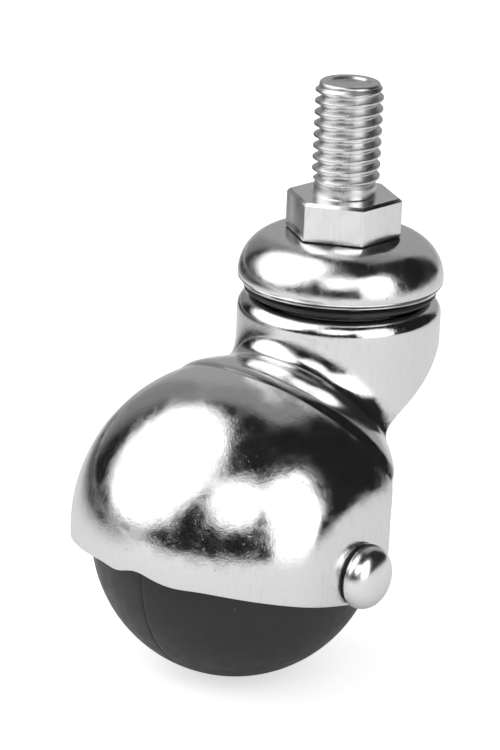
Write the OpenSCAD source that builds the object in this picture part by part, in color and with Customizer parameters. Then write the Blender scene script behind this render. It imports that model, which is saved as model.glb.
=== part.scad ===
// Hooded ball castor with a threaded stem.
// The origin is the centre of the collar's top face, where the stem is seated in
// furniture. +Z runs up the stem along the swivel axis, +X points to the ball's side
// and +Y runs along the ball's axle.

/* [Threaded stem] */
// Major diameter of the stem's thread
stem_d = 9.525; // [8:0.005:12]
// Length of the stem above the collar
stem_len = 16; // [10:0.5:40]
// Height of the chamfer at the stem's tip
stem_chamfer = 0.7; // [0.3:0.1:1.2]
// Width of the hex collar across its flats
hex_af = 14.29; // [13:0.01:18]
// Height of the hex collar
hex_h = 5.6; // [4:0.1:9]
// How much of the collar's top corners is turned off
hex_chamfer = 0.2; // [0.1:0.1:0.8]
// Turn of the collar's first corner from +X
hex_turn = 55.5; // [0:0.5:60]
// Diameter of the kingpin below the collar
kingpin_d = 8; // [6:0.1:9]
// Diameter of the riveted end of the kingpin
peen_d = 11; // [10:0.1:13]
// Height of the riveted end of the kingpin
peen_h = 1.6; // [1:0.1:3]

/* [Swivel cap] */
// Outer diameter of the cap
cap_d = 29; // [26:0.1:34]
// Radius of the cap's rounded crown
cap_crown = 6.1; // [5.5:0.1:7]
// Thickness of the cap's sheet
cap_wall = 1.4; // [1:0.1:1.8]
// Depth of the lip that curls in under the crown
lip_h = 1.6; // [1:0.1:2.5]
// How far the lip curls in
lip_curl = 0.75; // [0.3:0.05:1]
// Thickness of the ring under the lip
ring_t = 0.65; // [0.4:0.05:1]

/* [Swivel bearing] */
// Diameter of the balls of the upper row
upper_ball_d = 3.969; // [3.175:0.001:4.4]
// Number of balls in the upper row
upper_count = 14; // [8:1:14]
// Diameter of the balls of the lower row
lower_ball_d = 3.175; // [2.5:0.001:3.4]
// Number of balls in the lower row
lower_count = 10; // [6:1:10]
// Running clearance between the balls and their tracks
race_gap = 0.04; // [0.02:0.01:0.1]
// Least room between the kingpin and the balls of the lower row
kingpin_room = 0.25; // [0.2:0.05:1]
// Steepest lean of the lower balls against the track over them, from upright
contact_lean = 67.5; // [60:0.5:70]
// Thickness of the lower race under its balls
race_base = 1; // [0.8:0.1:1.5]
// Outer diameter of the lower race
race_d = 15.6; // [15:0.1:16]

/* [Hood] */
// Thickness of the hood's sheet
hood_wall = 1.2; // [0.8:0.1:1.5]
// Outer diameter of the neck
neck_d = 28.8; // [27:0.1:32]
// Radius of the neck's rounded shoulder
shoulder_r = 1.8; // [1.3:0.1:2.5]
// Height of the open gap between the cap's ring and the neck
swivel_gap = 0.65; // [0.4:0.05:1.5]
// Gap between the ball and the inside of the hood
hood_gap = 2.2; // [1.2:0.1:4]
// Height of the hood's centre above the axle
hood_rise = 0.6; // [0:0.1:1.5]
// Distance of the hood's centre from the axle, towards the swivel axis
hood_back = 0.8; // [0:0.1:1.5]
// Radius of the blend's core inside the neck
blend_r = 9.5; // [8:0.1:13]
// Depth of the blend's core inside the neck's back
blend_neck = 0.6; // [0.3:0.1:2]
// Depth of the blend's core inside the cover
blend_cover = 1.6; // [1:0.1:4]
// Height of the blend above the foot of the neck's front
blend_h = 0.5; // [0.3:0.1:2]
// Height of the pressed step round the neck's foot
step_h = 0.4; // [0.2:0.1:1]
// Outer radius of the pressed step, from the swivel axis
step_r = 23.4; // [20:0.1:26]
// Slope of the front rim, from level
rim_slope = 13; // [5:0.5:18]
// Radius of the ear round the axle
ear_r = 6; // [5.5:0.1:8]
// Height of the ear's centre above the axle
ear_rise = 1.8; // [0.5:0.1:2]
// Lean of the rim behind the ear, from upright
back_lean = 4; // [0:1:20]
// Length of the rim behind the ear, up to its knee
back_rise = 8.8; // [7:0.1:12]
// Radius of the rim's knee behind the ear
knee_r = 9; // [2:0.5:10]
// Slope of the rim under the neck, from level
neck_slope = 34; // [28:0.5:38]
// Radius of the rim's bend under the back of the neck
nape_r = 6; // [2:0.5:8]
// Height of the neck's back wall
nape_h = 6.4; // [5:0.1:8]

/* [Ball wheel] */
// Diameter of the ball
ball_d = 40; // [36:0.5:50]
// Width across the ball's two hub faces
hub_w = 39; // [34:0.5:39.4]
// Width of the parting groove round the ball
groove_w = 0.3; // [0.1:0.05:0.6]
// Depth of the parting groove
groove_depth = 0.15; // [0.05:0.05:0.4]
// Distance of the axle from the swivel axis
trail = 21.6; // [19:0.1:26]
// Distance of the axle below the collar's top face
axle_drop = 44.5; // [43:0.5:60]

/* [Axle] */
// Diameter of the axle rivet
rivet_d = 5; // [4:0.1:5.4]
// Diameter of the rivet's domed heads
head_d = 9; // [8:0.1:10]
// Height of the rivet's domed heads
head_h = 3.5; // [2.5:0.1:4]
// Height of the groove under each head
undercut_h = 0.35; // [0.2:0.05:0.6]
// Depth of the groove under each head
undercut_depth = 0.4; // [0.2:0.05:0.8]
// Wall of the spacer sleeve round the rivet
sleeve_wall = 0.95; // [0.7:0.05:1.3]
// Play between the ball's hub face and the hood, on each side
side_play = 1; // [0.5:0.1:2]
// Running clearance of the axle and the kingpin, on the radius
run_gap = 0.05; // [0.02:0.01:0.1]

/* [Hidden] */
$fn = 96;

// Past any wall, so that a cut leaves no skin
over = 1;
// Reaches past the whole hood
reach = 80;
// Flats along each rounded stretch of the rim
arc_steps = 16;
// Smoothness of the blend between the neck and the cover
blend_fn = 48;

// Cap
cap_top = -hex_h;
cap_r = cap_d / 2;
crown_r = cap_r - cap_crown;          // radius at which the crown starts to fall
crown_z = cap_top - cap_crown;        // height of the cap's widest place
crown_in = cap_crown - cap_wall;      // the crown's radius inside
lip_z = crown_z - lip_h;
lip_r = cap_r - lip_curl;
ring_z = lip_z - ring_t;
kingpin_r = kingpin_d / 2;
hex_corner = hex_af / 2 / cos(30);
turned_r = hex_corner - hex_chamfer;  // radius of the collar's top face

// Upper row: the balls lie in the crown's inner corner
upper_r = upper_ball_d / 2;
upper_reach = (crown_in - upper_r - race_gap) * cos(45);
upper_pitch = crown_r + upper_reach;
upper_z = crown_z + upper_reach;
track_r = upper_r + race_gap;

// Neck: a tower stands up inside the cap and carries the upper track
tower_r = upper_pitch - track_r;
tower_top = upper_z + 1.2;
tower_round = 0.6;
track_z = upper_z - track_r;
neck_r = neck_d / 2;
shoulder_z = ring_z - swivel_gap;
collar_r = lip_r - cap_wall - 0.85;   // the wall from the track down to the shoulder

// Lower row: the balls lie between the track's underside and the lower race, as close to
// the kingpin as it and the track let them
lower_r = lower_ball_d / 2;
lower_reach = track_r + hood_wall + lower_r + race_gap;
lower_pitch = max(
    kingpin_r + kingpin_room + lower_r, upper_pitch - lower_reach * sin(contact_lean)
);
lower_z = upper_z - sqrt(pow(lower_reach, 2) - pow(upper_pitch - lower_pitch, 2));
lower_track = lower_r + race_gap;
race_bottom = lower_z - lower_track - race_base;
race_top = lower_z - lower_track / 2;

// Hood, round the ball's centre
ball_r = ball_d / 2;
hood_in = ball_r + hood_gap;
hood_out = hood_in + hood_wall;
foot_z = hood_rise + sqrt(pow(hood_out, 2) - pow(trail - neck_r - hood_back, 2));
cheek_in = hub_w / 2 + side_play;     // half the width inside the cheeks
cheek_out = cheek_in + hood_wall;
rivet_r = rivet_d / 2;
sleeve_in = rivet_r + run_gap;
sleeve_out = sleeve_in + sleeve_wall;

// Moves to the ball's centre
module at_ball() {
    translate([trail, 0, -axle_drop]) children();
}

// Moves to the centre of the hood's cover
module at_cover() {
    at_ball() translate([-hood_back, 0, hood_rise]) children();
}

// Lays a shape that stands on Z along the axle
module along_axle() {
    rotate([-90, 0, 0]) children();
}

// Puts a child at each place of a ring of balls
module ball_at(count, i, pitch, z) {
    rotate([0, 0, (i - 1) * 360 / count]) translate([pitch, 0, z]) children();
}

module threaded_stem() {
    color("silver") {
        // Stem, with its chamfered tip
        rotate_extrude()
            polygon([
                [0, -hex_h / 2], [stem_d / 2, -hex_h / 2],
                [stem_d / 2, stem_len - stem_chamfer],
                [stem_d / 2 - stem_chamfer, stem_len], [0, stem_len]
            ]);
        // Hex collar, its top corners turned off by a cone
        intersection() {
            rotate([0, 0, hex_turn])
                translate([0, 0, -hex_h])
                    cylinder(h = hex_h, r = hex_corner, $fn = 6);
            rotate_extrude()
                polygon([
                    [0, -hex_h], [hex_af, -hex_h], [hex_af, (turned_r - hex_af) * tan(30)],
                    [turned_r, 0], [0, 0]
                ]);
        }
        // Kingpin and its riveted end
        translate([0, 0, race_bottom])
            cylinder(h = -race_bottom - hex_h / 2, r = kingpin_r);
        rotate_extrude()
            intersection() {
                translate([0, race_bottom - peen_h]) square([peen_d / 2, peen_h]);
                translate([0, race_bottom + peen_d / 2 - peen_h])
                    circle(r = peen_d / 2 + 0.2);
            }
    }
}

// The cap's solid form: the outside at inset 0, the inside at an inset of one wall
module cap_form(inset) {
    // Crown
    rotate_extrude()
        intersection() {
            union() {
                translate([crown_r, crown_z]) circle(r = cap_crown - inset);
                translate([0, crown_z - over]) square([crown_r, cap_crown - inset + over]);
            }
            translate([0, crown_z]) square([cap_r, cap_crown]);
        }
    // Lip
    translate([0, 0, lip_z])
        cylinder(h = lip_h, r1 = lip_r - inset, r2 = cap_r - inset);
}

module swivel_cap() {
    color("gainsboro")
        difference() {
            cap_form(0);
            // Hollow, open below
            cap_form(cap_wall);
            translate([0, 0, lip_z - over])
                cylinder(h = 2 * over, r = lip_r - cap_wall);
            // Bore for the kingpin
            translate([0, 0, lip_z])
                cylinder(h = -lip_z, r = kingpin_r + run_gap / 2);
        }
}

module cap_ring() {
    color("silver")
        rotate_extrude() {
            translate([lip_r - cap_wall, ring_z])
                square([cap_wall - ring_t / 2 + 0.1, ring_t]);
            translate([lip_r - ring_t / 2 + 0.1, ring_z + ring_t / 2]) circle(d = ring_t);
        }
}

module upper_ball(i) {
    color("lightsteelblue")
        ball_at(upper_count, i, upper_pitch, upper_z) sphere(r = upper_r);
}

module lower_ball(i) {
    color("lightsteelblue")
        ball_at(lower_count, i, lower_pitch, lower_z) sphere(r = lower_r);
}

module lower_race() {
    color("dimgray")
        rotate_extrude()
            difference() {
                translate([kingpin_r + run_gap / 2, race_bottom])
                    square([race_d / 2 - kingpin_r - run_gap / 2, race_top - race_bottom]);
                // Track of the lower row
                translate([lower_pitch, lower_z]) circle(r = lower_track);
            }
}

// Half section of the neck, from the tower down: the outside at inset 0, the inside at
// an inset of one wall
module neck_section(inset) {
    difference() {
        union() {
            // Tower
            translate([0, track_z - inset])
                square([tower_r - inset, tower_top - tower_round - track_z]);
            translate([0, tower_top - inset - tower_round])
                square([tower_r - inset - tower_round, tower_round]);
            translate([tower_r - inset - tower_round, tower_top - inset - tower_round])
                circle(r = tower_round);
            // Foot of the tower, which the upper track is sunk into
            translate([0, shoulder_z - inset])
                square([collar_r - inset, upper_z - shoulder_z + inset]);
            // Shoulder and wall
            translate([0, -axle_drop])
                square([neck_r - inset, axle_drop + shoulder_z - shoulder_r]);
            translate([0, shoulder_z - shoulder_r])
                square([neck_r - shoulder_r, shoulder_r - inset]);
            translate([neck_r - shoulder_r, shoulder_z - shoulder_r])
                circle(r = shoulder_r - inset);
        }
        // Upper track
        translate([upper_pitch, upper_z]) circle(r = track_r + inset);
        translate([upper_pitch, upper_z - track_r - inset])
            square([neck_r, 2 * track_r + 2 * inset]);
        translate([-reach, -reach]) square([reach, 2 * reach]);
    }
}

// Fills the corner between the neck and the cover: its cylinder and ball lie inside
// them, and it comes out only where they meet
module blend_form(inset) {
    hull() {
        translate([blend_r + blend_neck - neck_r, 0, -axle_drop])
            cylinder(h = foot_z + blend_h - inset, r = blend_r - inset, $fn = blend_fn);
        at_cover() sphere(r = hood_out - blend_cover - inset, $fn = blend_fn);
    }
}

// The drawn form of the hood, without its rim: the outside at inset 0, the inside at an
// inset of one wall
module hood_form(inset) {
    // Neck
    rotate_extrude() neck_section(inset);
    // Cover over the ball, flat at its two cheeks, its blend into the neck, and the
    // pressed step round the neck's foot
    intersection() {
        union() {
            at_cover() sphere(r = hood_out - inset);
            blend_form(inset);
            intersection() {
                at_cover() sphere(r = hood_out + step_h - inset);
                translate([0, 0, -axle_drop])
                    cylinder(h = axle_drop + shoulder_z - shoulder_r, r = step_r - inset);
            }
        }
        at_ball() cube([reach, 2 * (cheek_out - inset), reach], center = true);
    }
}

// Points along an arc
function arc_points(centre, r, from, to) =
    [for (i = [0:arc_steps]) let (a = from + (to - from) * i / arc_steps)
        centre + r * [cos(a), sin(a)]];

// Points round a bend to the left, between two ways
function bend_points(corner, r, way_in, way_out) =
    let (half = (way_out - way_in) / 2, out = way_in + half + 90)
        arc_points(
            corner + r / cos(half) * [cos(out), sin(out)], r, way_in - 90, way_out - 90
        );

// Side view of what the trim of the rim leaves, round the ball's centre
module trim_outline() {
    ear = [-0.4, ear_rise];
    slant = [-cos(neck_slope), sin(neck_slope)];
    ear_arc = arc_points(ear, ear_r, rim_slope - 90, back_lean - 180);
    knee = ear_arc[arc_steps] + back_rise * [-sin(back_lean), cos(back_lean)];
    nape_z = axle_drop + shoulder_z - nape_h;
    nape = knee + (nape_z - knee[1]) / slant[1] * slant;
    polygon(concat(
        [[reach, reach], ear_arc[0] + reach * [cos(rim_slope), sin(rim_slope)]],
        ear_arc,
        bend_points(knee, knee_r, 90 + back_lean, 180 - neck_slope),
        bend_points(nape, nape_r, 180 - neck_slope, 180),
        [[-reach, nape_z], [-reach, reach]]
    ));
}

module hood() {
    color("whitesmoke")
        difference() {
            intersection() {
                hood_form(0);
                at_ball() rotate([90, 0, 0])
                    linear_extrude(height = 2 * cheek_out + 2 * over, center = true)
                        trim_outline();
            }
            hood_form(hood_wall);
            // Bore for the kingpin
            translate([0, 0, shoulder_z])
                cylinder(h = -shoulder_z, r = kingpin_r + run_gap);
            // Bore for the axle
            at_ball() along_axle()
                cylinder(h = 2 * cheek_out + 2 * over, r = rivet_r + run_gap, center = true);
        }
}

// One domed head, its foot on Z = 0
module rivet_head() {
    dome_h = head_h - undercut_h;
    dome_r = (pow(head_d / 2, 2) + pow(dome_h, 2)) / (2 * dome_h);
    cylinder(h = undercut_h, r = head_d / 2 - undercut_depth);
    intersection() {
        translate([0, 0, undercut_h]) cylinder(h = dome_h, r = head_d / 2);
        translate([0, 0, head_h - dome_r]) sphere(r = dome_r);
    }
}

module axle_rivet() {
    color("gainsboro")
        at_ball() {
            along_axle() cylinder(h = 2 * cheek_out, r = rivet_r, center = true);
            for (side = [-1, 1])
                rotate([-90 * side, 0, 0]) translate([0, 0, cheek_out]) rivet_head();
        }
}

module axle_sleeve() {
    color("darkgray")
        at_ball() along_axle()
            difference() {
                cylinder(h = 2 * cheek_in, r = sleeve_out, center = true);
                cylinder(h = 2 * cheek_in + 2 * over, r = sleeve_in, center = true);
            }
}

module ball_wheel() {
    color([0.16, 0.16, 0.17])
        at_ball()
            difference() {
                intersection() {
                    sphere(r = ball_r, $fn = 128);
                    cube([reach, hub_w, reach], center = true);
                }
                // Bore
                along_axle()
                    cylinder(h = hub_w + 2 * over, r = sleeve_out + run_gap, center = true);
                // Parting groove
                along_axle() rotate_extrude($fn = 128)
                    translate([ball_r - groove_depth, -groove_w / 2])
                        square([over, groove_w]);
            }
}

threaded_stem();
swivel_cap();
cap_ring();
lower_race();
for (i = [1:upper_count])
    upper_ball(i);
for (i = [1:lower_count])
    lower_ball(i);
hood();
axle_rivet();
axle_sleeve();
ball_wheel();
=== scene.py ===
import math
import bmesh
import bpy
import numpy as np
from mathutils import Matrix, Vector


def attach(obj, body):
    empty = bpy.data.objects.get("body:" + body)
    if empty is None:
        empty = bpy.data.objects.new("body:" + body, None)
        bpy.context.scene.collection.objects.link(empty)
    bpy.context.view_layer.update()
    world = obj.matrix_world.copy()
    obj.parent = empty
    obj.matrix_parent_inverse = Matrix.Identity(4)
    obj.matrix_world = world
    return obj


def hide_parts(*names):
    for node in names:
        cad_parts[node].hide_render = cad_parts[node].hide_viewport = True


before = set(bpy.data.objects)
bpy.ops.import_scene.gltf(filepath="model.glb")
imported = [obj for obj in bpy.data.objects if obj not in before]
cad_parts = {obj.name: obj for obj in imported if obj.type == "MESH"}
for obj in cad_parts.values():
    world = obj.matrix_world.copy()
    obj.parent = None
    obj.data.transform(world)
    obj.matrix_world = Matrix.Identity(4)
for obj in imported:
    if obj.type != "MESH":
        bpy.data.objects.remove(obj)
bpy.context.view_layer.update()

# a hooded ball castor: the stem carries a cap, under which the drawn hood swivels on two
# rows of bearing balls and holds the ball wheel on a riveted axle

mm = 0.001         # pieces are modelled in millimetres and finished in metres
steelSteps = 96    # segments round a turned piece
smoothSteps = 160  # segments round a polished piece
weld = 1e-5        # points closer than this are merged
ballCentre = (21.6, 0, -44.5)
cheekHalf = 21.7   # half the hood's width over its two flat cheeks


# helpers for meshes, all in millimetres until the piece is finished

def arcPoints(centre, radius, start, end, count):
    turn = [math.radians(start + (end - start) * i / count) for i in range(count + 1)]
    return [(centre[0] + radius * math.cos(a), centre[1] + radius * math.sin(a)) for a in turn]


def mirrored(half):
    # a whole profile from the half above its middle
    return [(r, -h) for r, h in reversed(half)] + half


def lathe(bm, profile, steps, centre=(0, 0, 0), axis=(0, 0, 1)):
    # each point of the profile is its distance from the axis and its height along it
    axis = Vector(axis)
    side = Vector((1, 0, 0))
    base = Vector(centre)
    verts = [bm.verts.new(base + side * r + axis * h) for r, h in profile]
    edges = [bm.edges.new(pair) for pair in zip(verts, verts[1:])]
    bmesh.ops.spin(bm, geom=verts + edges, cent=base, axis=axis, angle=math.tau,
                   steps=steps, use_merge=True)
    bmesh.ops.remove_doubles(bm, verts=bm.verts, dist=weld)


def addObject(name, data):
    made = bpy.data.objects.new(name, data)
    bpy.context.scene.collection.objects.link(made)
    return made


def finishPiece(bm, name, materials, body, nodes, crispAngle=None):
    bmesh.ops.recalc_face_normals(bm, faces=bm.faces)
    bmesh.ops.scale(bm, vec=(mm, mm, mm), verts=bm.verts)
    for face in bm.faces:
        face.smooth = True
    mesh = bpy.data.meshes.new(name)
    bm.to_mesh(mesh)
    bm.free()
    for material in materials:
        mesh.materials.append(material)
    if crispAngle:  # edges stay crisp where the faces turn by more
        mesh.set_sharp_from_angle(angle=math.radians(crispAngle))
    piece = addObject(name, mesh)
    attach(piece, body)
    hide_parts(*nodes)
    return piece


# helpers for materials

def newMaterial(name, color, metallic, roughness):
    material = bpy.data.materials.new(name)
    material.use_nodes = True
    shader = material.node_tree.nodes["Principled BSDF"]
    shader.inputs["Base Color"].default_value = (*color, 1)
    shader.inputs["Metallic"].default_value = metallic
    shader.inputs["Roughness"].default_value = roughness
    return material, material.node_tree, shader


def addNode(tree, kind, **values):
    # each value is a setting of the node, or else goes to the input of that name
    node = tree.nodes.new(kind)
    for key, value in values.items():
        if hasattr(node, key):
            setattr(node, key, value)
        else:
            node.inputs[key].default_value = value
    return node


def noiseAt(tree, scale, detail=2, roughness=0.5, stretch=(1, 1, 1)):
    # noise on the piece's own coordinates, its scale in lumps a millimetre
    coord = addNode(tree, "ShaderNodeTexCoord")
    mapping = addNode(tree, "ShaderNodeMapping", Scale=stretch)
    noise = addNode(tree, "ShaderNodeTexNoise", Scale=scale / mm, Detail=detail,
                    Roughness=roughness)
    tree.links.new(coord.outputs["Object"], mapping.inputs["Vector"])
    tree.links.new(mapping.outputs["Vector"], noise.inputs["Vector"])
    return noise.outputs["Fac"]


def ramp(tree, source, low, high, toLow, toHigh):
    node = addNode(tree, "ShaderNodeMapRange", interpolation_type="SMOOTHSTEP")
    limits = {"From Min": low, "From Max": high, "To Min": toLow, "To Max": toHigh}
    for key, value in limits.items():
        node.inputs[key].default_value = value
    tree.links.new(source, node.inputs["Value"])
    return node.outputs["Result"]


def maths(tree, operation, a, b):
    node = addNode(tree, "ShaderNodeMath", operation=operation)
    for socket, value in zip(node.inputs, (a, b)):
        if isinstance(value, (int, float)):
            socket.default_value = value
        else:
            tree.links.new(value, socket)
    return node.outputs[0]


def mixColor(tree, factor, first, second):
    node = addNode(tree, "ShaderNodeMix", data_type="RGBA")
    sockets = node.inputs[0], node.inputs[6], node.inputs[7]  # factor, A and B for colours
    for socket, value in zip(sockets, (factor, first, second)):
        if isinstance(value, tuple):
            socket.default_value = (*value, 1)
        else:
            tree.links.new(value, socket)
    return node.outputs[2]


def addBump(tree, shader, height, depth):
    # depth is the height of the relief in millimetres
    bump = addNode(tree, "ShaderNodeBump", Strength=1, Distance=depth * mm)
    tree.links.new(height, bump.inputs["Height"])
    tree.links.new(bump.outputs["Normal"], shader.inputs["Normal"])


# plated metal and rubber: scales are in lumps a millimetre, and a range says between which
# levels of its noise an effect grows, and from what to what

platingLook = {
    "patchScale": 0.35, "hazeRange": (0.35, 0.75),
    "pitScale": 2.2, "pitRange": (0.64, 0.72, 0, 1), "pitDepth": 0.5,
    "stainRange": (0.4, 0.7, 0.15, 0.8),
    "rippleScale": 3.2, "rippleRange": (0.35, 0.65, 0.4, 1.6),
    "markScale": 1, "markStretch": (3.0, 3.0, 0.35), "markRange": (0.5, 0.75),
}


def platedMetal(name, color, dull, gloss, haze, ripple, marks=0.0):
    s = platingLook
    material, tree, shader = newMaterial(name, color, 1, gloss)
    # patches where the shine is duller, with most of the scattered pits in them
    patches = noiseAt(tree, s["patchScale"], 4, 0.6)
    pits = ramp(tree, noiseAt(tree, s["pitScale"], 3, 0.7), *s["pitRange"])
    tree.links.new(ramp(tree, patches, *s["hazeRange"], gloss, haze),
                   shader.inputs["Roughness"])
    stain = maths(tree, "MULTIPLY", pits, ramp(tree, patches, *s["stainRange"]))
    if marks:  # upright streaks from the drawing or rolling of the metal
        drawn = noiseAt(tree, s["markScale"], 4, 0.6, s["markStretch"])
        stain = maths(tree, "MAXIMUM", stain, ramp(tree, drawn, *s["markRange"], 0, marks))
    tree.links.new(mixColor(tree, stain, color, dull), shader.inputs["Base Color"])
    # a fine ripple, stronger in the dull patches, and the pits sunk into it
    rough = maths(tree, "MULTIPLY", noiseAt(tree, s["rippleScale"], 5, 0.7),
                  ramp(tree, patches, *s["rippleRange"]))
    sunk = maths(tree, "MULTIPLY", pits, s["pitDepth"])
    addBump(tree, shader, maths(tree, "SUBTRACT", rough, sunk), ripple)
    return material


hoodChrome = platedMetal("hoodChrome", (0.87, 0.87, 0.87), (0.30, 0.30, 0.30),
                         gloss=0.11, haze=0.17, ripple=0.014, marks=0.12)
capChrome = platedMetal("capChrome", (0.86, 0.86, 0.86), (0.30, 0.30, 0.30),
                        gloss=0.14, haze=0.24, ripple=0.016, marks=0.08)
stemSteel = platedMetal("stemSteel", (0.92, 0.92, 0.925), (0.50, 0.50, 0.50),
                        gloss=0.16, haze=0.26, ripple=0.008, marks=0.25)
threadSteel = platedMetal("threadSteel", (0.80, 0.80, 0.805), (0.25, 0.25, 0.25),
                          gloss=0.26, haze=0.36, ripple=0.014)
rivetSteel = platedMetal("rivetSteel", (0.93, 0.93, 0.935), (0.30, 0.30, 0.30),
                         gloss=0.20, haze=0.32, ripple=0.012)
raceSteel = platedMetal("raceSteel", (0.52, 0.52, 0.53), (0.15, 0.14, 0.13),
                        gloss=0.30, haze=0.50, ripple=0.006)
bearingSteel = platedMetal("bearingSteel", (0.78, 0.78, 0.80), (0.30, 0.30, 0.30),
                           gloss=0.05, haze=0.15, ripple=0.001)

rubberLook = {
    "black": (0.015, 0.015, 0.016), "worn": (0.026, 0.026, 0.027), "dust": (0.16, 0.16, 0.16),
    "scuffScale": 0.25, "scuffRange": (0.5, 0.75, 0, 0.5),
    "dustScale": 1.4, "dustRange": (0.76, 0.80, 0, 0.8),
    "shineScale": 0.5, "shineRange": (0.3, 0.7, 0.34, 0.46), "roughness": 0.38,
    "grainScale": 4, "grain": 0.006,
}


def ballRubberAndShade():
    s = rubberLook
    material, tree, shader = newMaterial("ballRubberAndShade", s["black"], 0, s["roughness"])
    scuffs = ramp(tree, noiseAt(tree, s["scuffScale"], 6, 0.7), *s["scuffRange"])
    dust = ramp(tree, noiseAt(tree, s["dustScale"], 2, 0.5), *s["dustRange"])
    worn = mixColor(tree, scuffs, s["black"], s["worn"])
    tree.links.new(mixColor(tree, dust, worn, s["dust"]), shader.inputs["Base Color"])
    shine = ramp(tree, noiseAt(tree, s["shineScale"], 4), *s["shineRange"])
    tree.links.new(shine, shader.inputs["Roughness"])
    addBump(tree, shader, noiseAt(tree, s["grainScale"], 3), s["grain"])
    return material


# the ball's black rubber, also used as painted shade at the collar's foot and under the rivet
# heads
rubberAndPaintedShade = ballRubberAndShade()

# the bearing's balls, its race and the axle's sleeve are the frame's own nodes
for nodeName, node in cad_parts.items():
    if "_ball_" in nodeName:
        finish = bearingSteel
    elif nodeName in ("lower_race", "axle_sleeve"):
        finish = raceSteel
    else:
        continue
    for materialSlot in node.material_slots:
        materialSlot.material = finish
print("materials made")


# stem, collar and kingpin, one piece

stemSize = {
    "threadRadius": 4.76, "rootRadius": 3.92, "pitch": 1.5875, "turns": 10,
    "threadWidth": 0.88, "flank": 0.3,  # as shares of the pitch
    "rootRound": (0.04, 0.07), "crestRound": (0.12, 0.1), "crestFlat": 0.02, "stepsATurn": 72,
    "threadStart": 1.5, "runOut": 0.9,
    "tip": 16.0, "tipChamfer": 0.9, "tipSlope": 0.8, "tipRadius": 4.26, "tipRound": 0.5,
    "dishRadius": 2.9, "dishDepth": 0.35, "dishWall": 0.35,
    "markFoot": 0.9, "markTop": 0.5,  # the small raised mark in the middle of the tip
    "shoulderRadius": 4.4, "shoulderHeight": 1.7, "shoulderFillet": 0.15,
    "hexFlats": 14.29, "hexHeight": 5.6, "hexTurn": 55.5,
    "hexTopEdge": 0.42, "hexFootEdge": 0.22, "hexSideEdge": 0.12,
    "kingpinRadius": 4.0, "peenRadius": 5.5, "peenRound": 0.9,
    "peenTop": -14.3, "peenFoot": -15.9,
    "sunkBy": 0.4,  # how far one part of the stem reaches into the next
}
# the dark finish is painted shade, black at the collar's foot
stemFinishes = {"thread": 1, "dark": 2}  # a face's material, where it isn't the plain steel


def buildThread(bm):
    s = stemSize
    root, crest, pitch = s["rootRadius"], s["threadRadius"], s["pitch"]
    start = s["threadStart"] - pitch
    flank, width = pitch * s["flank"], pitch * s["threadWidth"]
    (rootOut, rootUp), (crestIn, crestUp) = s["rootRound"], s["crestRound"]
    rise = [(root, 0), (root + rootOut, rootUp), (crest - crestIn, flank),
            (crest - s["crestFlat"], flank + crestUp)]
    fall = [(r, width - h) for r, h in reversed(rise)]
    profile = rise + [(crest, width / 2)] + fall + [(root, pitch)]
    verts = [bm.verts.new((r, 0, start + h)) for r, h in profile]
    edges = [bm.edges.new(pair) for pair in zip(verts, verts[1:])]
    bmesh.ops.spin(bm, geom=verts + edges, cent=(0, 0, 0), axis=(0, 0, 1),
                   dvec=(0, 0, pitch / s["stepsATurn"]), angle=math.tau * s["turns"],
                   steps=s["stepsATurn"] * s["turns"])
    bmesh.ops.remove_doubles(bm, verts=bm.verts, dist=weld * 10)
    end = s["tip"] - s["tipChamfer"] / 2
    for height, above in ((s["threadStart"], False), (end, True)):
        bmesh.ops.bisect_plane(bm, geom=bm.verts[:] + bm.edges[:] + bm.faces[:],
                               plane_co=(0, 0, height), plane_no=(0, 0, 1),
                               clear_outer=above, clear_inner=not above)
    # the crest grows from the run-out and falls away at the tip
    for v in bm.verts:
        grown = min(1, max(0, (v.co.z - s["threadStart"]) / s["runOut"]))
        fallen = s["tipRadius"] + max(0, end - v.co.z) * s["tipSlope"]
        limit = min(root + (crest - root) * grown, fallen) / math.hypot(v.co.x, v.co.y)
        if limit < 1:
            v.co.x *= limit
            v.co.y *= limit
    bmesh.ops.holes_fill(bm, edges=[e for e in bm.edges if e.is_boundary], sides=0)


def buildShoulder(bm):
    s = stemSize
    radius, height, fillet = s["shoulderRadius"], s["shoulderHeight"], s["shoulderFillet"]
    lathe(bm, [(0, height), (s["rootRadius"] + 0.1, height), (radius - 0.25, height - 0.05),
               (radius - 0.06, height - 0.2), (radius, height - 0.5), (radius, fillet),
               (radius + fillet, 0), (radius + fillet, -0.5), (0, -0.5)], steelSteps)


def buildTip(bm):
    # a rounded ring round a sunk middle
    s = stemSize
    radius, bend, top = s["tipRadius"], s["tipRound"], s["tip"]
    foot, dish = top - s["tipChamfer"], top - s["dishDepth"]
    profile = [(0, foot - s["sunkBy"]), (radius, foot - s["sunkBy"]), (radius, foot)]
    profile += arcPoints((radius - bend, top - bend), bend, 10, 100, 8)
    profile += [(s["dishRadius"], top - 0.06), (s["dishRadius"] - s["dishWall"], dish),
                (s["markFoot"], dish - 0.05), (s["markTop"], dish + 0.12), (0, dish + 0.15)]
    lathe(bm, profile, steelSteps)


def bevelEdges(bm, edges, width):
    bmesh.ops.bevel(bm, geom=edges, offset=width, segments=1, profile=0.5,
                    affect="EDGES", material=-1)


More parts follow.
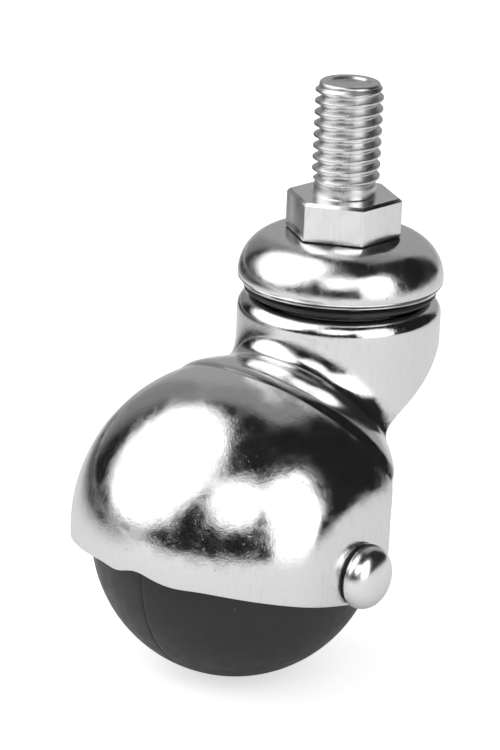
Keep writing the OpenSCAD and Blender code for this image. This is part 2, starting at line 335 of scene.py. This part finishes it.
def buildHex(bm):
    s = stemSize
    foot = -s["hexHeight"]
    made = bmesh.ops.create_circle(bm, cap_ends=True, segments=6,
                                   radius=s["hexFlats"] / 2 / math.cos(math.pi / 6))["verts"]
    turn = math.radians(s["hexTurn"] - 30)
    bmesh.ops.rotate(bm, verts=made, matrix=Matrix.Rotation(turn, 3, "Z"))
    bmesh.ops.translate(bm, verts=made, vec=(0, 0, foot))
    grown = bmesh.ops.extrude_face_region(bm, geom=[made[0].link_faces[0]])["geom"]
    top = [v for v in grown if isinstance(v, bmesh.types.BMVert)]
    bmesh.ops.translate(bm, verts=top, vec=(0, 0, -foot))
    sides = [e for v in top for e in v.link_edges if abs(e.verts[0].co.z - e.verts[1].co.z) > 1]
    bevelEdges(bm, sides, s["hexSideEdge"])
    for height, width in ((0, s["hexTopEdge"]), (foot, s["hexFootEdge"])):
        level = [e for e in bm.edges if all(abs(v.co.z - height) < 1e-4 for v in e.verts)]
        bevelEdges(bm, level, width)
    # painted shade: the collar's foot chamfer, at the narrow gap above the cap, is coloured black
    for face in bm.faces:
        if foot + 0.01 < face.calc_center_median().z < foot + s["hexFootEdge"]:
            face.material_index = stemFinishes["dark"]


def buildKingpin(bm):
    s = stemSize
    king, peen, bend = s["kingpinRadius"], s["peenRadius"], s["peenRound"]
    foot, top, head = s["peenFoot"], s["peenTop"], -s["hexHeight"] + s["sunkBy"]
    profile = [(0, foot)] + arcPoints((peen - bend, foot + bend), bend, -90, 0, 6)
    profile += [(peen, top - 0.1), (peen - 0.1, top), (king, top), (king, head), (0, head)]
    lathe(bm, profile, steelSteps)


def buildStem():
    bm = bmesh.new()
    buildThread(bm)
    buildShoulder(bm)
    buildTip(bm)
    for face in bm.faces:
        face.material_index = stemFinishes["thread"]
    lower = bmesh.new()
    buildHex(lower)
    buildKingpin(lower)
    spare = bpy.data.meshes.new("spare")
    lower.to_mesh(spare)
    lower.free()
    bm.from_mesh(spare)
    bpy.data.meshes.remove(spare)
    finishPiece(bm, "threadedStem", (stemSteel, threadSteel, rubberAndPaintedShade), "stem",
                ["threaded_stem"], crispAngle=32)


buildStem()
print("stem made")


# swivel cap and the thin ring under its lip

capSize = {
    "bore": 4.15, "top": -5.6, "crown": 6.1, "crownRadius": 8.4, "crownHeight": -11.7,
    "lipRadius": 13.75, "lipHeight": -13.3, "lipRound": 0.2, "wall": 1.4, "ridge": 0.07,
    "ringTop": -13.3, "ringFoot": -13.95, "ringRadius": 13.6, "ringBore": 12.35,
    "frontLift": 0.9, "liftTurn": 38,
}


# the lip is pressed a little higher on one side
def liftLip(bm):
    s = capSize
    for v in bm.verts:
        low = (s["crownHeight"] - v.co.z) / (s["crownHeight"] - s["ringFoot"])
        away = math.atan2(v.co.y, v.co.x) - math.radians(s["liftTurn"])
        v.co.z += s["frontLift"] * min(1, max(0, low)) * max(0, math.cos(away))


def buildCap():
    s = capSize
    level, lip, foot, bend = s["crownHeight"], s["lipRadius"], s["lipHeight"], s["lipRound"]
    corner = (s["crownRadius"], level)
    widest = s["crownRadius"] + s["crown"]
    profile = [(s["bore"], s["top"])] + arcPoints(corner, s["crown"], 90, 4, 40)
    # a low ridge where the crown turns into the lip
    profile += [(widest - 0.01, level - 0.12), (widest - 0.10, level - 0.30),
                (widest - 0.12 + s["ridge"], level - 0.45), (widest - 0.24, level - 0.62),
                (lip + 0.16, foot + 0.42)]
    profile += arcPoints((lip - 0.14, foot + bend), bend, 20, -90, 8)
    # back up along the inside
    profile += [(lip - s["wall"], foot), (lip - s["wall"], level)]
    profile += arcPoints(corner, s["crown"] - s["wall"], 0, 90, 16)
    profile += [(s["bore"], s["top"] - s["wall"]), (s["bore"], s["top"])]
    bm = bmesh.new()
    lathe(bm, profile, smoothSteps)
    liftLip(bm)
    finishPiece(bm, "swivelCap", (capChrome,), "stem", ["swivel_cap"],
                crispAngle=40)


def buildRing():
    s = capSize
    middle = (s["ringTop"] + s["ringFoot"]) / 2
    half = (s["ringTop"] - s["ringFoot"]) / 2
    profile = [(s["ringBore"], s["ringFoot"])]
    profile += arcPoints((s["ringRadius"] - half, middle), half, -90, 90, 10)
    profile += [(s["ringBore"], s["ringTop"]), (s["ringBore"], s["ringFoot"])]
    bm = bmesh.new()
    lathe(bm, profile, smoothSteps)
    finishPiece(bm, "capRing", (rubberAndPaintedShade,), "stem", ["cap_ring"], crispAngle=40)


buildCap()
buildRing()
print("cap made")


# ball wheel, with a fine groove round its middle where its halves meet

ballSize = {
    "radius": 20, "hubHalf": 19.5, "bore": 3.55, "boreEdge": 0.3, "boreRound": 0.6,
    "grooveHalf": 0.06, "grooveDepth": 0.08, "grooveEdge": 0.10, "grooveRound": 0.03,
}


def buildBall():
    s = ballSize
    r, hub, groove, bend = s["radius"], s["hubHalf"], s["grooveHalf"], s["grooveRound"]
    flat = math.degrees(math.asin(hub / r)) - 0.4
    gap = math.degrees((groove + s["grooveEdge"]) / r)
    half = [(r - s["grooveDepth"], groove), (r - bend, groove + bend)]
    half += arcPoints((0, 0), r, gap, flat, 48)
    half += [(s["bore"] + s["boreEdge"], hub), (s["bore"], hub - s["boreRound"])]
    profile = mirrored(half)
    bm = bmesh.new()
    lathe(bm, profile + [profile[0]], smoothSteps, ballCentre, (0, 1, 0))
    finishPiece(bm, "ballWheel", (rubberAndPaintedShade,), "wheel", ["ball_wheel"],
                crispAngle=35)


buildBall()
print("ball made")


# axle rivet, a domed head at each cheek

rivetSize = {
    "shank": 2.5, "headRadius": 4.5, "headHeight": 3.5, "undercut": 0.3,
    "undercutHeight": 0.35, "edge": 0.3,
    "fullness": 2.5,  # 2 is a round dome, and more is a fuller one
    "domeSteps": 28,
}


def buildRivet():
    s = rivetSize
    head, edge, neck = s["headRadius"], s["edge"], s["headRadius"] - s["undercut"]
    base = cheekHalf + s["undercutHeight"]
    rise = s["headHeight"] - s["undercutHeight"]
    full = 2 / s["fullness"]
    half = [(s["shank"], cheekHalf), (neck, cheekHalf), (neck, base),
            (head - edge * 0.5, base + 0.02), (head - edge * 0.12, base + edge * 0.4)]
    low = math.asin((edge * 1.1 / rise) ** (1 / full))
    for i in range(s["domeSteps"] + 1):
        turn = low + (math.pi / 2 - low) * i / s["domeSteps"]
        half.append((head * max(0, math.cos(turn)) ** full, base + rise * math.sin(turn) ** full))
    bm = bmesh.new()
    lathe(bm, mirrored(half), steelSteps, ballCentre, (0, 1, 0))
    # painted shade: the undercut under each head is coloured black
    for face in bm.faces:
        if abs(face.calc_center_median().y) < base - 0.01:
            face.material_index = 1
    finishPiece(bm, "axleRivet", (rivetSteel, rubberAndPaintedShade), "fork", ["axle_rivet"],
                crispAngle=40)


buildRivet()
print("rivet made")


# hood, one drawn sheet from the neck to the rim over the ball

hoodSize = {
    "coverRadius": 23.4, "coverBack": 0.8, "coverRise": 0.6, "cheekSoftness": 2.0,
    "neckRadius": 14.4, "neckDepth": 8,
    # how widely the neck runs into the cover, ahead and behind
    "frontBlend": 4.6, "backBlend": 11.0, "frontFlare": 1.5, "foreFrom": -0.55, "foreTo": 0.45,
    "stepRadius": 23.3, "stepWidth": 1.8, "stepHeight": 0.42, "stepFrom": 0.1, "stepTo": 0.6,
    "joinHeight": -17.0, "shoulderTop": -14.6, "shoulder": 2.2, "collar": 11.5,
    "trackPitch": 10.3, "trackHeight": -9.8, "track": 2.02,
    "tower": 8.28, "towerTop": -8.6, "towerRound": 0.6, "bore": 4.06,
    "wall": 1.2, "rimRound": 0.18, "rimAngle": 50,
    # the mesh: its fineness, where it is finest, and the point that it is laid out from
    "fineness": 7, "foldInner": 14.0, "foldOuter": 24.6, "foldHeight": -29,
    "middle": (-12, 0, 10), "farthest": 60.0, "halvings": 34,
    "ringZone": 1.5, "rimWeld": 0.15, "edgePasses": 6, "weldAfter": 2,
}


def softMin(a, b, k):
    h = np.clip(0.5 + 0.5 * (b - a) / k, 0, 1)
    return b + (a - b) * h - k * h * (1 - h)


def smoothStep(x, low, high):
    t = np.clip((x - low) / (high - low), 0, 1)
    return t * t * (3 - 2 * t)


# how far a point lies outside the drawn form, roughly, and below 0 inside it
def hoodForm(p):
    s = hoodSize
    ball = np.array(ballCentre)
    reach = np.hypot(p[:, 0], p[:, 1])
    ahead = p[:, 0] / np.maximum(reach, 0.01)  # 1 toward the ball and -1 away from it
    fore = smoothStep(ahead, s["foreFrom"], s["foreTo"])
    # the pressed step: flat on top, and crisp where its slope meets the cover
    risen = np.clip((s["stepRadius"] - reach) / s["stepWidth"], 0, 1)
    step = s["stepHeight"] * risen * (2 - risen) * smoothStep(ahead, s["stepFrom"], s["stepTo"])
    q = p - ball - np.array([-s["coverBack"], 0, s["coverRise"]])
    cover = np.linalg.norm(q, axis=1) - s["coverRadius"] - step
    cheek = np.abs(p[:, 1]) - cheekHalf
    cover = -softMin(-cover, -cheek, s["cheekSoftness"])
    neck = np.maximum(reach - s["neckRadius"], ball[2] - s["neckDepth"] - p[:, 2])
    neck *= 1 + (s["frontFlare"] - 1) * fore
    return softMin(cover, neck, s["backBlend"] + (s["frontBlend"] - s["backBlend"]) * fore)


# moves points along their rays from the middle of the hood until they lie on the form
def layOnForm(p, middle):
    ray = p - middle
    ray /= np.linalg.norm(ray, axis=1)[:, None]
    low = np.zeros(len(p))
    high = np.full(len(p), hoodSize["farthest"])
    for _ in range(hoodSize["halvings"]):
        half = (low + high) / 2
        inside = hoodForm(middle + ray * half[:, None]) < 0
        low = np.where(inside, half, low)
        high = np.where(inside, high, half)
    return middle + ray * high[:, None]


# evens out the mesh and brings it back onto the form, square to it
def settle(bm, verts, passes):
    tiny = 1e-3
    for _ in range(passes):
        bmesh.ops.smooth_vert(bm, verts=verts, factor=0.5, use_axis_x=True, use_axis_y=True,
                              use_axis_z=True)
        p = coords(verts)
        for _ in range(2):
            off = hoodForm(p)
            slope = np.stack([(hoodForm(p + way) - off) / tiny for way in np.eye(3) * tiny],
                             axis=1)
            p -= slope * (off / (slope ** 2).sum(1))[:, None]
        place(verts, p)


# side view of the rim, round the ball's centre, from the nose to the back of the neck
rimSize = {
    "slope": 13, "noseReach": 40,
    "earCentre": (-0.4, 1.8), "earRadius": 6,
    "backLean": 4, "backRise": 7.5, "kneeRadius": 9,
    "neckSlope": 34.5, "napeRadius": 6, "napeHeight": 23.5, "napeReach": 60,
    # low waves round the nose: turn round the ball, half width in degrees, height
    "waves": ((-6, 5, -0.35), (3, 6, 0.40), (17, 8, -0.35)),
}


# an arc in place of a corner, between the line's way in and its way out, in degrees
def bendPoints(corner, radius, wayIn, wayOut):
    half = (wayOut - wayIn) / 2
    out = math.radians(wayIn + half + 90)
    off = radius / math.cos(math.radians(half))
    centre = (corner[0] + off * math.cos(out), corner[1] + off * math.sin(out))
    return arcPoints(centre, radius, wayIn - 90, wayOut - 90, 12)


def rimLine():
    s = rimSize
    wayUp, wayBack = 90 + s["backLean"], 180 - s["neckSlope"]
    slope, lean, slant = (math.radians(a) for a in (s["slope"], s["backLean"], wayBack))
    ear = arcPoints(s["earCentre"], s["earRadius"], s["slope"] - 90, s["backLean"] - 180, 24)
    (frontX, frontY), (backX, backY) = ear[0], ear[-1]
    nose = (frontX + s["noseReach"] * math.cos(slope), frontY + s["noseReach"] * math.sin(slope))
    knee = (backX - s["backRise"] * math.sin(lean), backY + s["backRise"] * math.cos(lean))
    rise = (s["napeHeight"] - knee[1]) / math.sin(slant)
    nape = (knee[0] + rise * math.cos(slant), s["napeHeight"])
    line = [nose] + ear
    line += bendPoints(knee, s["kneeRadius"], wayUp, wayBack)
    line += bendPoints(nape, s["napeRadius"], wayBack, 180)
    line += [(-s["napeReach"], s["napeHeight"])]
    return np.array(line)


# signed gap from the rim's line, above 0 on the sheet's side, and the nearest place on it
def rimGap(p, line):
    q = p[:, [0, 2]] - np.array(ballCentre)[[0, 2]]
    a, way = line[:-1], np.diff(line, axis=0)
    t = np.einsum("nkd,kd->nk", q[:, None] - a[None], way) / (way ** 2).sum(1)
    foot = a[None] + np.clip(t, 0, 1)[..., None] * way[None]
    gap = np.linalg.norm(q[:, None] - foot, axis=2)
    near = gap.argmin(1)
    rows = np.arange(len(q))
    off = q - a[near]
    side = way[near, 0] * off[:, 1] - way[near, 1] * off[:, 0]
    return -np.sign(side) * gap[rows, near], foot[rows, near]


def rimWave(p):
    turn = np.degrees(np.arctan2(p[:, 1], p[:, 0] - ballCentre[0]))
    return sum(height * np.exp(-((turn - middle) / half) ** 2)
               for middle, half, height in rimSize["waves"])


def coords(verts):
    return np.array([v.co for v in verts], float).reshape(-1, 3)


def place(verts, p):
    for v, co in zip(verts, p):
        v.co = co


def innerVerts(bm):
    return [v for v in bm.verts if not v.is_boundary]


def edgeVerts(bm):
    return [v for v in bm.verts if v.is_boundary]


# cuts the sheet at the rim below and at a level ring on the neck above
def trimSheet(bm, line):
    faces = list(bm.faces)
    middles = np.array([f.calc_center_median() for f in faces])
    gap = np.minimum(rimGap(middles, line)[0], hoodSize["joinHeight"] - middles[:, 2])
    bmesh.ops.delete(bm, geom=[f for f, g in zip(faces, gap) if g < 0], context="FACES")
    while True:
        spikes = [f for f in bm.faces if sum(e.is_boundary for e in f.edges) > 1]
        if not spikes:
            break
        bmesh.ops.delete(bm, geom=spikes, context="FACES")


# draws the cut edges onto the rim's line and onto the ring
def fitEdges(bm, line, middle):
    s = hoodSize
    join = s["joinHeight"]
    for step in range(s["edgePasses"]):
        rim = edgeVerts(bm)
        p = coords(rim)
        foot = rimGap(p, line)[1] + np.array(ballCentre)[[0, 2]]
        top = p[:, 2] > join - s["ringZone"]
        p[:, 0] = np.where(top, p[:, 0], foot[:, 0])
        p[:, 2] = np.where(top, join, foot[:, 1] + rimWave(p))
        place(rim, layOnForm(p, middle))
        if step == s["weldAfter"]:
            bmesh.ops.remove_doubles(bm, verts=edgeVerts(bm), dist=s["rimWeld"])
            settle(bm, innerVerts(bm), 6)


# a finer mesh where the sheet bends most, at the foot of the neck
def refineFold(bm):
    s = hoodSize
    fold = [e for e in bm.edges if e.verts[0].co.z > s["foldHeight"] and not e.is_boundary
            and s["foldInner"] < math.hypot(*e.verts[0].co.xy) < s["foldOuter"]]
    bmesh.ops.subdivide_edges(bm, edges=fold, cuts=1, use_grid_fill=True)
    bmesh.ops.triangulate(bm, faces=[f for f in bm.faces if len(f.verts) > 4])
    settle(bm, [v for v in innerVerts(bm) if v.co.z > s["foldHeight"] - 1], 3)


# the ring on the neck grows up over the shoulder and the bearing tower
def growTower(bm):
    s = hoodSize
    shoulder, collar, bend = s["shoulder"], s["collar"], s["towerRound"]
    profile = arcPoints((s["neckRadius"] - shoulder, s["shoulderTop"] - shoulder), shoulder,
                        0, 90, 14)
    profile += [(collar + 0.6, s["shoulderTop"]), (collar, s["shoulderTop"]),
                (collar, s["trackHeight"] - s["track"])]
    profile += arcPoints((s["trackPitch"], s["trackHeight"]), s["track"], -90, -180, 12)
    profile += arcPoints((s["tower"] - bend, s["towerTop"] - bend), bend, 0, 90, 5)
    profile += [(s["bore"], s["towerTop"])]
    ring = [e for e in bm.edges if e.is_boundary
            and all(v.co.z > s["joinHeight"] - 1e-3 for v in e.verts)]
    for reach, height in profile:
        grown = bmesh.ops.extrude_edge_only(bm, edges=ring)["geom"]
        for v in (g for g in grown if isinstance(g, bmesh.types.BMVert)):
            scale = reach / math.hypot(v.co.x, v.co.y)
            v.co = (v.co.x * scale, v.co.y * scale, height)
        ring = [g for g in grown if isinstance(g, bmesh.types.BMEdge) and g.is_boundary]


def buildHood():
    s = hoodSize
    middle = np.array(ballCentre) + np.array(s["middle"])
    line = rimLine()
    bm = bmesh.new()
    bmesh.ops.create_icosphere(bm, subdivisions=s["fineness"], radius=1)
    place(bm.verts, layOnForm(coords(bm.verts) + middle, middle))
    trimSheet(bm, line)
    fitEdges(bm, line, middle)
    refineFold(bm)
    growTower(bm)
    print("hood sheet:", len(bm.verts), "vertices")
    hood = finishPiece(bm, "hoodShell", (hoodChrome,), "fork", ["hood"])
    wall = hood.modifiers.new("wall", "SOLIDIFY")
    wall.thickness = s["wall"] * mm
    wall.offset = -1
    wall.use_even_offset = True
    rim = hood.modifiers.new("rim", "BEVEL")
    rim.width = s["rimRound"] * mm
    rim.segments = 2
    rim.limit_method = "ANGLE"
    rim.angle_limit = math.radians(s["rimAngle"])


buildHood()
print("hood made")


# camera: angles in degrees, distances in metres from the frame's origin

viewSize = {
    "turn": 128.0, "tilt": 19.4, "roll": 2.3, "distance": 0.4, "right": 0.01318, "up": 0.02533,
    "lens": 137.95, "sensor": 36, "nearest": 0.01,
}


def makeCamera():
    s = viewSize
    turn, tilt, roll = (math.radians(s[k]) for k in ("turn", "tilt", "roll"))
    across = Vector((math.cos(turn), math.sin(turn), 0))
    back = Vector((math.sin(turn) * math.cos(tilt), -math.cos(turn) * math.cos(tilt),
                   math.sin(tilt)))
    above = back.cross(across)
    x = across * math.cos(roll) + above * math.sin(roll)
    y = above * math.cos(roll) - across * math.sin(roll)
    stand = back * s["distance"] - x * s["right"] - y * s["up"]
    data = bpy.data.cameras.new("camera")
    data.lens = s["lens"]
    data.sensor_width = s["sensor"]
    data.clip_start = s["nearest"]
    camera = addObject("camera", data)
    camera.matrix_world = Matrix.Translation(stand) @ Matrix((x, y, back)).transposed().to_4x4()
    bpy.context.scene.camera = camera


makeCamera()
print("camera placed")


# floor, world and lamps, in metres

studioSize = {
    "floorHeight": -0.0645, "floorHalf": 1.4,
    "floorGrey": 0.82, "floorRoughness": 0.9, "floorGlow": 0.6,
    "darkReflectionMiddle": (0.060, -0.520, -0.0645), "darkReflectionRadius": 0.36, "darkReflectionEdge": 0.10,
    "darkReflectionGrey": 0.05, "plainLevel": 0.5, "darkLevel": 0.013,
    "lampDistance": 0.8, "lampAim": (0.012, 0, -0.035),
}
# what polished metal sees round it: turn and tilt of the way it faces, the middle's shift
# across and up, half its width and height as seen, brightness, squareness, edge softness
studioPanels = {
    "bigSoftbox": (313, 42, 0, 0, 0.75, 0.82, 1.5, 2.2, 0.15),
    "sideSoftbox": (80.5, 22, 0, 0, 0.37, 0.55, 1.5, 6.0, 0.08),
    "frontSoftbox": (34, 37, 0, 0, 0.31, 0.30, 1.5, 2.6, 0.15),
    "backdrop": (206, 10, 0, 0, 0.55, 0.80, 0.36, 6.0, 0.08),
    "farWall": (241, 8, 0, 0, 0.26, 0.75, 0.23, 3.0, 0.50),
    "paleCard": (3.7, 72, -0.68, 2.67, 1.0, 2.0, 0.26, 10, 0.03),
}
# lamps: turn and tilt, width and height, light level
lamps = {
    "bigLamp": (308, 40, 0.95, 1.16, 1.3),
    "sideLamp": (80, 26, 0.65, 0.80, 1.1),
    "frontLamp": (35, 37, 0.52, 0.44, 1.1),
}


def grey(level):
    return (level,) * 3


def direction(turn, tilt):
    turn, tilt = math.radians(turn), math.radians(tilt)
    return Vector((math.cos(turn) * math.cos(tilt), math.sin(turn) * math.cos(tilt),
                   math.sin(tilt)))


def floorPaper():
    s = studioSize
    material, tree, shader = newMaterial("floorPaper", grey(s["floorGrey"]), 0,
                                         s["floorRoughness"])
    shader.inputs["Specular IOR Level"].default_value = 0
    path = addNode(tree, "ShaderNodeLightPath")
    # painted reflection: glossy rays alone see the floor dark round one point, so polished metal
    # shows a dark patch there
    coord = addNode(tree, "ShaderNodeTexCoord")
    away = addNode(tree, "ShaderNodeVectorMath", operation="DISTANCE")
    away.inputs[1].default_value = s["darkReflectionMiddle"]
    tree.links.new(coord.outputs["Object"], away.inputs[0])
    darkReflection = ramp(tree, away.outputs["Value"], s["darkReflectionRadius"] - s["darkReflectionEdge"],
                 s["darkReflectionRadius"] + s["darkReflectionEdge"], 1, 0)
    darkReflection = maths(tree, "MULTIPLY", darkReflection, path.outputs["Is Glossy Ray"])
    seen = mixColor(tree, darkReflection, grey(s["floorGrey"]), grey(s["darkReflectionGrey"]))
    tree.links.new(seen, shader.inputs["Base Color"])
    # the camera sees the paper near white, with only a pale shadow
    shader.inputs["Emission Color"].default_value = (1, 1, 1, 1)
    glow = maths(tree, "MULTIPLY", path.outputs["Is Camera Ray"], s["floorGlow"])
    tree.links.new(glow, shader.inputs["Emission Strength"])
    return material


def makeFloor():
    s = studioSize
    bm = bmesh.new()
    bmesh.ops.create_grid(bm, x_segments=2, y_segments=2, size=s["floorHalf"])
    bmesh.ops.translate(bm, vec=(0, 0, s["floorHeight"]), verts=bm.verts)
    mesh = bpy.data.meshes.new("floor")
    bm.to_mesh(mesh)
    bm.free()
    mesh.materials.append(floorPaper())
    floor = addObject("floor", mesh)


def addPanel(tree, seen, color, panel):
    turn, tilt, acrossShift, upShift, width, height, level, square, soft = panel
    facing = direction(turn, tilt)
    side = Vector((0, 0, 1)).cross(facing).normalized()
    up = facing.cross(side)
    ahead, across, above = (addNode(tree, "ShaderNodeVectorMath", operation="DOT_PRODUCT")
                            for _ in range(3))
    for node, way in ((ahead, facing), (across, side / width), (above, up / height)):
        node.inputs[1].default_value = way
        tree.links.new(seen, node.inputs[0])
    depth = maths(tree, "MAXIMUM", ahead.outputs["Value"], 0.001)
    parts = []
    for node, shift in ((across, acrossShift / width), (above, upShift / height)):
        part = maths(tree, "DIVIDE", node.outputs["Value"], depth)
        part = maths(tree, "ABSOLUTE", maths(tree, "SUBTRACT", part, shift), 0)
        parts.append(maths(tree, "POWER", part, square))
    reach = maths(tree, "POWER", maths(tree, "ADD", *parts), 1 / square)
    inside = ramp(tree, reach, 1 - soft, 1 + soft, 1, 0)
    return mixColor(tree, inside, color, grey(level))


# polished metal sees the panels, the camera sees white, and the rest sees a plain level
def makeWorld():
    s = studioSize
    world = bpy.data.worlds.new("studio")
    bpy.context.scene.world = world
    world.use_nodes = True
    world.cycles.sampling_method = "NONE"  # the lamps give the light
    tree = world.node_tree
    path = addNode(tree, "ShaderNodeLightPath")
    coord = addNode(tree, "ShaderNodeTexCoord")
    studio = grey(s["darkLevel"])
    for panel in reversed(studioPanels.values()):
        studio = addPanel(tree, coord.outputs["Generated"], studio, panel)
    lit = mixColor(tree, path.outputs["Is Glossy Ray"], grey(s["plainLevel"]), studio)
    shown = mixColor(tree, path.outputs["Is Camera Ray"], lit, grey(1))
    tree.links.new(shown, tree.nodes["Background"].inputs["Color"])


def makeLamps():
    s = studioSize
    for name, (turn, tilt, width, height, level) in lamps.items():
        data = bpy.data.lights.new(name, "AREA")
        data.shape = "RECTANGLE"
        data.size, data.size_y = width, height
        data.energy = level * math.pi * width * height
        lamp = addObject(name, data)
        toLamp = direction(turn, tilt)
        stand = Vector(s["lampAim"]) + toLamp * s["lampDistance"]
        facing = toLamp.to_track_quat("Z", "Y").to_matrix().to_4x4()
        lamp.matrix_world = Matrix.Translation(stand) @ facing
        lamp.visible_camera = False
        lamp.visible_glossy = False


makeFloor()
makeWorld()
makeLamps()
print("studio made")

bpy.context.scene.view_settings.view_transform = "Standard"
